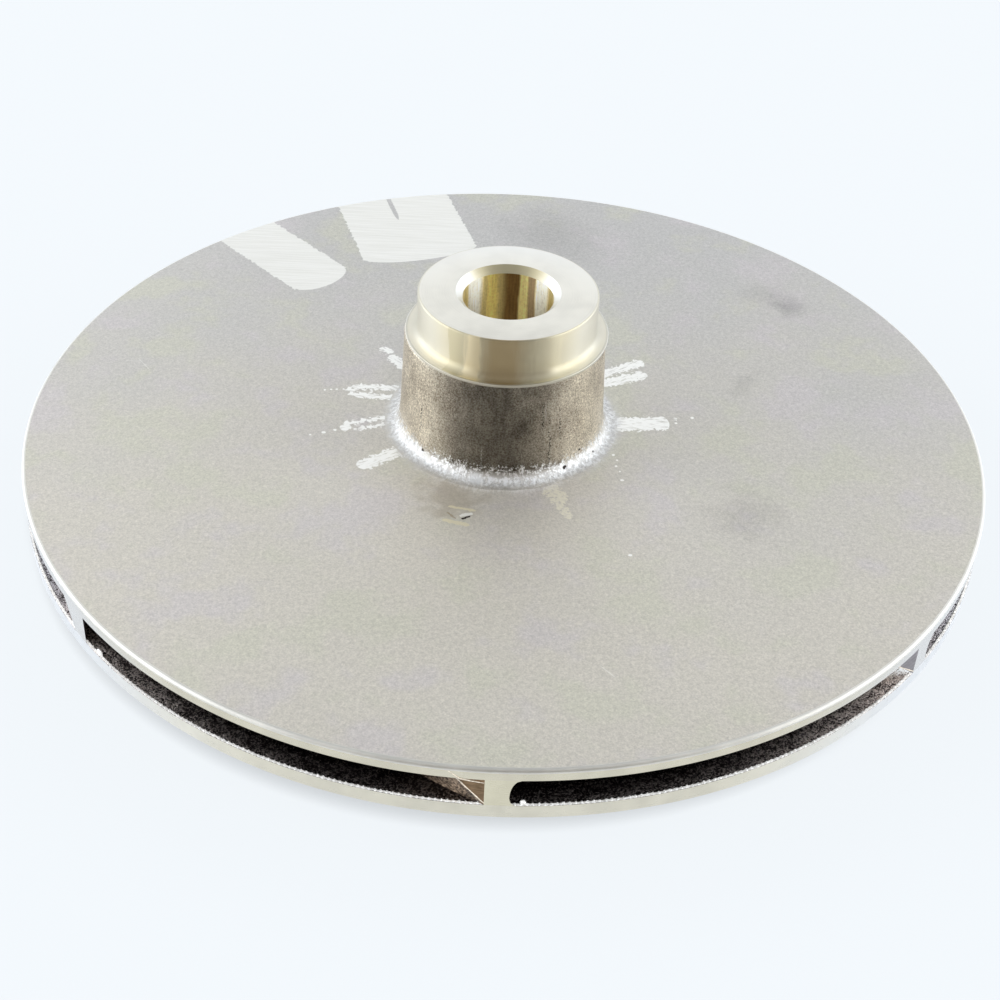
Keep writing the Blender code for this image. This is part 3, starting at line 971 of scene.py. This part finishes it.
# Two larger shreds of it are left, beside the tips of vanes 1 and 7: angle, length, height.
SHREDS = ((-86.2, 0.0013, 0.0013), (-136.6, 0.0024, 0.0014))
SHRED_THICKNESS = 0.0008
SHRED_RADIUS = RIM_RADIUS - 0.0006
for shred_degrees, shred_length, shred_height in SHREDS:
    shred_turn = math.radians(shred_degrees)
    let_go()
    bpy.ops.mesh.primitive_ico_sphere_add(subdivisions=3, radius=0.5)
    shred = bpy.context.object
    shred.scale = (SHRED_THICKNESS, shred_length, shred_height)
    shred.rotation_euler = (0.0, 0.0, shred_turn)
    shred.location = Matrix.Rotation(shred_turn, 3, "Z") @ Vector((SHRED_RADIUS, 0.0, 0.0))
    shred.location.z = FLOOR_RIM + 0.45 * shred_height
    fix_placing()
    select_corners(shred, lambda corner: True)
    bpy.ops.transform.vertex_random(offset=0.00018, seed=3)
    stop_editing()
    shred.data.materials.append(torn)
    join_to(burr, shred)
join_to(front_shroud, burr)
round_off(front_shroud)
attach(front_shroud, "root")
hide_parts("front_shroud")


# The eye ring is the short collar round the inlet. It is turned all over, because it runs in
# the casing's wear ring, and the impeller lies on its flat end.
EYE_RING_EDGE = 0.0008
ring_outline = [
    (EYE_RADIUS, ring_low[2]),
    (EYE_RADIUS, EYE_THROAT),
    (blend(EYE_RADIUS, throat, 0.35), blend(EYE_THROAT, EYE_RING_TOP, 0.6)),
    (throat, EYE_RING_TOP),
    (EYE_RING_RADIUS, EYE_RING_TOP),
    (EYE_RING_RADIUS, ring_low[2] + EYE_RING_EDGE),
    (EYE_RING_RADIUS - EYE_RING_EDGE, ring_low[2]),
]
eye_ring = turn_body("eye_ring_turned", ring_outline, RIM_STEPS)
finish_faces(eye_ring, turned_rim)
round_off(eye_ring)
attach(eye_ring, "root")
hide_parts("eye_ring")


# Seven vanes stand between the shrouds and sweep back from the eye to the rim. They are cast
# in one piece with both shrouds, turned off with the rim, and six are filed behind the tip.
VANE_COUNT = 7
VANE_TIP_ANGLE = math.radians(-88.7)
VANE_ANGLE = math.radians(27)
VANE_INNER_AT_FLOOR = 0.042
VANE_INNER_AT_ROOF = 0.031
INNER_FACE = 0.00115
OUTER_FACE = 0.00136
ROOF_CORNER = 0.0012
ROOF_CORNER_HEIGHT = 0.0054
FLOOR_CORNER = 0.0007
FLOOR_CORNER_HEIGHT = 0.0027
OUTER_LEAN = 0.0021
OVERRUN_RADIUS = 0.1365
GUIDE_INNER_RADIUS = 0.029
ALONG_STEPS = 90
# The inner end of a vane is blunt: columns in from it, and the share of the width left there.
NARROWED_COLUMNS = ((0, 0.35), (1, 0.72), (2, 0.92))
GUIDE_POINTS = 120
TIP_BRONZE = (0.75, 0.70, 0.54, 1.0)


def vane_angle_at(radius):
    """The vane's line, which meets every circle round the shaft at the same angle."""
    return VANE_TIP_ANGLE - math.log(RIM_RADIUS / radius) / math.tan(VANE_ANGLE)


def length_to(radius):
    """Length of the vane's line from its outer end in to this radius."""
    return (OVERRUN_RADIUS - radius) / math.sin(VANE_ANGLE)


def face_offsets(height):
    """How far the vane's inner and outer faces stand from its line, with cast corners."""
    thinnest = FLOOR_RIM + FLOOR_CORNER_HEIGHT
    if height < thinnest:
        share = min(1.0, (thinnest - height) / FLOOR_CORNER_HEIGHT)
        corner = FLOOR_CORNER * (1.0 - math.sqrt(1.0 - share * share))
    else:
        share = min(1.0, (height - thinnest) / ROOF_CORNER_HEIGHT)
        corner = ROOF_CORNER * (1.0 - math.sqrt(1.0 - share * share))
    lean = OUTER_LEAN * min(1.0, max(0.0, (height - FLOOR_RIM) / (ROOF_RIM - FLOOR_RIM)))
    return -(INNER_FACE + corner), OUTER_FACE + lean


vane_levels = [0.0080, 0.0150, FLOOR_RIM, 0.0181, 0.0187, 0.0195, FLOOR_RIM + FLOOR_CORNER_HEIGHT]
vane_levels += [0.0218, 0.0230, 0.0240, 0.0248, 0.0254, ROOF_RIM, ROOF_RIM + 0.0006]


def level_length(height):
    """The vane starts further in at the roof than at the floor."""
    share = min(1.0, max(0.0, (height - 0.009) / 0.0095))
    return length_to(blend(VANE_INNER_AT_FLOOR, VANE_INNER_AT_ROOF, share))


let_go()
bpy.ops.mesh.primitive_grid_add(x_subdivisions=ALONG_STEPS, y_subdivisions=1, size=1.0)
vane = bpy.context.object
vane.name = "vane_casting_1"
level = vane_levels[0]
inner, outer = face_offsets(level)
width, middle, length = outer - inner, 0.5 * (inner + outer), level_length(level)
vane.scale = (length, width, 1.0)
vane.location = (0.5 * length, middle, level)
fix_placing()
for columns_in, narrowing in NARROWED_COLUMNS:
    column = length * (1.0 - columns_in / ALONG_STEPS)
    select_corners(vane, lambda corner: abs(corner.x - column) < NEAR)
    bpy.ops.transform.resize(value=(1.0, narrowing, 1.0), center_override=(0.0, middle, 0.0))
    stop_editing()
select_corners(vane, lambda corner: True)
for next_level in vane_levels[1:]:
    inner, outer = face_offsets(next_level)
    draw_on((0.0, 0.0, next_level - level))
    growth = (level_length(next_level) / length, (outer - inner) / width, 1.0)
    bpy.ops.transform.resize(value=growth, center_override=(0.0, middle, 0.0))
    bpy.ops.transform.translate(value=(0.0, 0.5 * (inner + outer) - middle, 0.0))
    level = next_level
    width, middle, length = outer - inner, 0.5 * (inner + outer), level_length(level)
bpy.ops.mesh.select_all(action="SELECT")
bpy.ops.mesh.normals_make_consistent(inside=False)
stop_editing()

let_go()
bpy.ops.curve.primitive_nurbs_path_add(radius=0.01)
vane_line = bpy.context.object
vane_line.data.dimensions = "2D"
path = vane_line.data.splines[0]
path.type = "POLY"
path.points.add(GUIDE_POINTS - len(path.points))
for number, point in enumerate(path.points):
    radius = blend(OVERRUN_RADIUS, GUIDE_INNER_RADIUS, number / (GUIDE_POINTS - 1))
    angle = vane_angle_at(radius)
    point.co = (radius * math.cos(angle), radius * math.sin(angle), 0.0, 1.0)
pick(vane)
bend = vane.modifiers.new("sweep", "CURVE")
bend.object = vane_line
bpy.ops.object.modifier_apply(modifier=bend.name)
bpy.data.objects.remove(vane_line)

# The passage as a turned body, grown a little into both shrouds, trims the vane.
INTO_SHROUD = 0.0004
BEHIND_RIM = 0.0005
WATERWAY_ROOF_STARTS = 0.026
WATERWAY_FLOOR_STARTS = 0.0395
waterway_outline = [(RIM_RADIUS, FLOOR_RIM), (RIM_RADIUS, ROOF_RIM)]
waterway_outline.append((RIM_RADIUS - BEHIND_RIM, ROOF_RIM + INTO_SHROUD))
waterway_outline += along(roof_height, ROOF_TURN_RADIUS, WATERWAY_ROOF_STARTS, 13, 1.0, INTO_SHROUD)
waterway_outline += along(floor_height, WATERWAY_FLOOR_STARTS, FLOOR_TURN_RADIUS, 12, 1.0, -INTO_SHROUD)
waterway_outline.append((RIM_RADIUS - BEHIND_RIM, FLOOR_RIM - INTO_SHROUD))
waterway = turn_body("waterway", waterway_outline, RIM_STEPS)


def cut(body, tool, operation):
    """Cut a body with a tool body, which is then gone."""
    pick(body)
    step = body.modifiers.new("cut", "BOOLEAN")
    step.object = tool
    step.operation = operation
    bpy.ops.object.modifier_apply(modifier=step.name)
    bpy.data.objects.remove(tool)


cut(vane, waterway, "INTERSECT")


FILED_BROWNS = ((0.13, 0.083, 0.044, 1.0), (0.26, 0.172, 0.098, 1.0))
FILED_GREYS = ((0.20, 0.19, 0.20, 1.0), (0.32, 0.30, 0.32, 1.0))


def filed_bronze():
    """The flat that the file left behind a tip, brown on vane 1 and grey further round."""
    finish, shader, place = start_finish("filed bronze", 0.9)
    x = axes(place)[0]
    scratches = speckle(stretched(place, (500.0, 500.0, 2600.0)), 1.0, 3.0)
    brown = tint(ease(scratches, -0.2, 0.2), *FILED_BROWNS)
    grey = tint(ease(scratches, -0.2, 0.2), *FILED_GREYS)
    feed(shader, "Base Color", tint(ease(abs(x), 0.03, 0.09), brown, grey))
    feed(shader, "Roughness", 0.42 + 0.3 * scratches)
    feed(shader, "Normal", raise_surface(scratches, 0.00005))
    return finish


VANE_DARK = (0.050, 0.040, 0.037, 1.0)
VANE_PALE = (0.85, 0.80, 0.76, 1.0)
BROWN_DARK = (0.060, 0.042, 0.030, 1.0)
BROWN_PALE = (0.41, 0.31, 0.225, 1.0)
BROWNED_PLACE = (-0.012, -0.127)


def vane_skin():
    """The vane's outer face, as rough as the passage but nearer the light, browned at vane 1."""
    finish = core_skin("rough vane skin", VANE_DARK, VANE_PALE, 0.14, 1600.0)
    shader = finish.node_tree.nodes["Principled BSDF"]
    colour = Wire(shader.inputs["Base Color"].links[0].from_socket)
    place = Wire(finish.node_tree.nodes["Texture Coordinate"].outputs["Object"])
    x, y = axes(place)[:2]
    far = from_axis(x - BROWNED_PLACE[0], y - BROWNED_PLACE[1]) + 0.016 * speckle(place, 260.0)
    browned = ease(far, 0.0140, 0.0070)
    rusty = ease(speckle(place, 1700.0, 3.0, 0.7), -0.08, 0.10)
    feed(shader, "Base Color", tint(browned, colour, tint(rusty, BROWN_DARK, BROWN_PALE)))
    feed(shader, "Metallic", 1.0 - 0.55 * browned)
    return finish


torn_cream = torn_bronze("torn cream bronze", (0.56, 0.49, 0.40, 1.0), (0.90, 0.82, 0.70, 1.0))
BURR_SIDES = 8


def draw_burr(points, radii):
    """A thin ridge of torn metal along some points, thick or thin as the radii say."""
    start_turn = (points[1] - points[0]).to_track_quat("Z", "Y").to_euler()
    let_go()
    bpy.ops.mesh.primitive_circle_add(
        vertices=BURR_SIDES, radius=radii[0], fill_type="NGON", location=points[0], rotation=start_turn
    )
    ridge = bpy.context.object
    fix_placing()
    bpy.ops.object.mode_set(mode="EDIT")
    bpy.ops.mesh.select_all(action="SELECT")
    for number in range(1, len(points)):
        draw_on(points[number] - points[number - 1])
        growth = radii[number] / radii[number - 1]
        bpy.ops.transform.resize(value=(growth, growth, growth), center_override=points[number])
    bpy.ops.mesh.select_all(action="SELECT")
    bpy.ops.transform.vertex_random(offset=0.00007, seed=4)
    bpy.ops.mesh.normals_make_consistent(inside=False)
    stop_editing()
    ridge.data.materials.append(torn_cream)
    return ridge


finish_faces(vane, passage)
finish_faces(vane, vane_skin(), lambda middle, normal: normal.x * middle.x + normal.y * middle.y > 0.0)
turned_tip = turned_bronze("turned tip", TIP_BRONZE, 0.25, 0.6)
finish_faces(vane, turned_tip, lambda middle, normal: span(middle) > RIM_RADIUS - 0.0001)
vanes = [vane]
for number in range(1, VANE_COUNT):
    pick(vane)
    bpy.ops.object.duplicate()
    turned_vane = bpy.context.object
    turned_vane.name = f"vane_casting_{number + 1}"
    turned_vane.rotation_euler = (0.0, 0.0, math.tau * number / VANE_COUNT)
    fix_placing()
    vanes.append(turned_vane)

# How far each filed flat turns from the rim's own direction, for vanes 1 to 6. Vane 7's tip
# was not filed, and its core was a sharper one.
FILE_DEGREES = (9.5, 14.0, 10.5, 9.0, 11.0, 8.5)
TIP_HALF_WIDTH = 0.0030
BLOCK_SIZE = 0.030
FILED_RADIUS = 0.1255
EDGE_BURR_RADII = (
    0.00008, 0.00013, 0.00016, 0.00012, 0.00015, 0.00011, 0.00017, 0.00012, 0.00009, 0.00012, 0.00006,
)


def outward_at(angle):
    """The level direction that points this way round the shaft axis."""
    return Vector((math.cos(angle), math.sin(angle), 0.0))


def square_block(angle):
    """A block to cut with, one face of it turned to look this way."""
    let_go()
    bpy.ops.mesh.primitive_cube_add(size=BLOCK_SIZE)
    block = bpy.context.object
    block.rotation_euler = (0.0, 0.0, angle)
    return block


def file_tip(body, tip_angle, file_angle, burr_scale):
    """File a flat on the outer face behind the tip, which raises a burr along the flat's edge."""
    edge_angle = tip_angle - TIP_HALF_WIDTH / RIM_RADIUS
    tip_edge = outward_at(edge_angle) * RIM_RADIUS
    file_face = outward_at(edge_angle - file_angle)
    block = square_block(edge_angle - file_angle)
    block.location = tip_edge + file_face * 0.5 * BLOCK_SIZE
    block.location.z = 0.5 * (FLOOR_RIM + ROOF_RIM)
    fix_placing()
    cut(body, block, "DIFFERENCE")
    finish_faces(
        body, filed, lambda middle, normal: span(middle) > FILED_RADIUS and normal.dot(file_face) > 0.999
    )
    filed_length = OUTER_LEAN / math.sin(VANE_ANGLE - file_angle)
    foot = tip_edge + Vector((0.0, 0.0, FLOOR_RIM + 0.0006))
    far_end = tip_edge + outward_at(edge_angle - file_angle - 0.5 * math.pi) * filed_length
    far_end.z = ROOF_RIM - 0.0003
    steps = len(EDGE_BURR_RADII) - 1
    points = [foot.lerp(far_end, step / steps) for step in range(steps + 1)]
    radii = [burr_scale * radius for radius in EDGE_BURR_RADII]
    join_to(body, draw_burr(points, radii))


def sharpen_corner(body, tip_angle):
    """Cut the cast corners from the inner face by the tip."""
    outer_normal = tip_angle - VANE_ANGLE
    block = square_block(outer_normal)
    inner_side = -outward_at(outer_normal)
    block.location = outward_at(tip_angle) * RIM_RADIUS + inner_side * (INNER_FACE + 0.5 * BLOCK_SIZE)
    block.location.z = 0.5 * (FLOOR_RIM + ROOF_RIM)
    fix_placing()
    cut(body, block, "DIFFERENCE")


filed = filed_bronze()
for number, piece in enumerate(vanes):
    piece_tip = VANE_TIP_ANGLE + math.tau * number / VANE_COUNT
    if number < len(FILE_DEGREES):
        file_tip(piece, piece_tip, math.radians(FILE_DEGREES[number]), 1.1 if number == 0 else 1.0)
    else:
        sharpen_corner(piece, piece_tip)


def on_rim(distance, height):
    """A point on the rim, this far round from vane 1's line and this far above the back face."""
    point = outward_at(VANE_TIP_ANGLE + distance / RIM_RADIUS) * RIM_RADIUS
    point.z = BACK_FACE + height
    return point


# Above the tip of vane 1 the file slipped and left a bright ridge across the rim.
SLIP = ((-0.0110, -0.0012), (-0.0086, -0.0032), (-0.0060, -0.0037), (-0.0031, -0.0042))
SLIP_RADII = (0.00005, 0.00014, 0.00016, 0.00008)
slip_points = [on_rim(distance, height) for distance, height in SLIP]
join_to(vane, draw_burr(slip_points, SLIP_RADII))
for number, piece in enumerate(vanes):
    round_off(piece)
    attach(piece, "root")
    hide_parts(f"vane_{number + 1}")
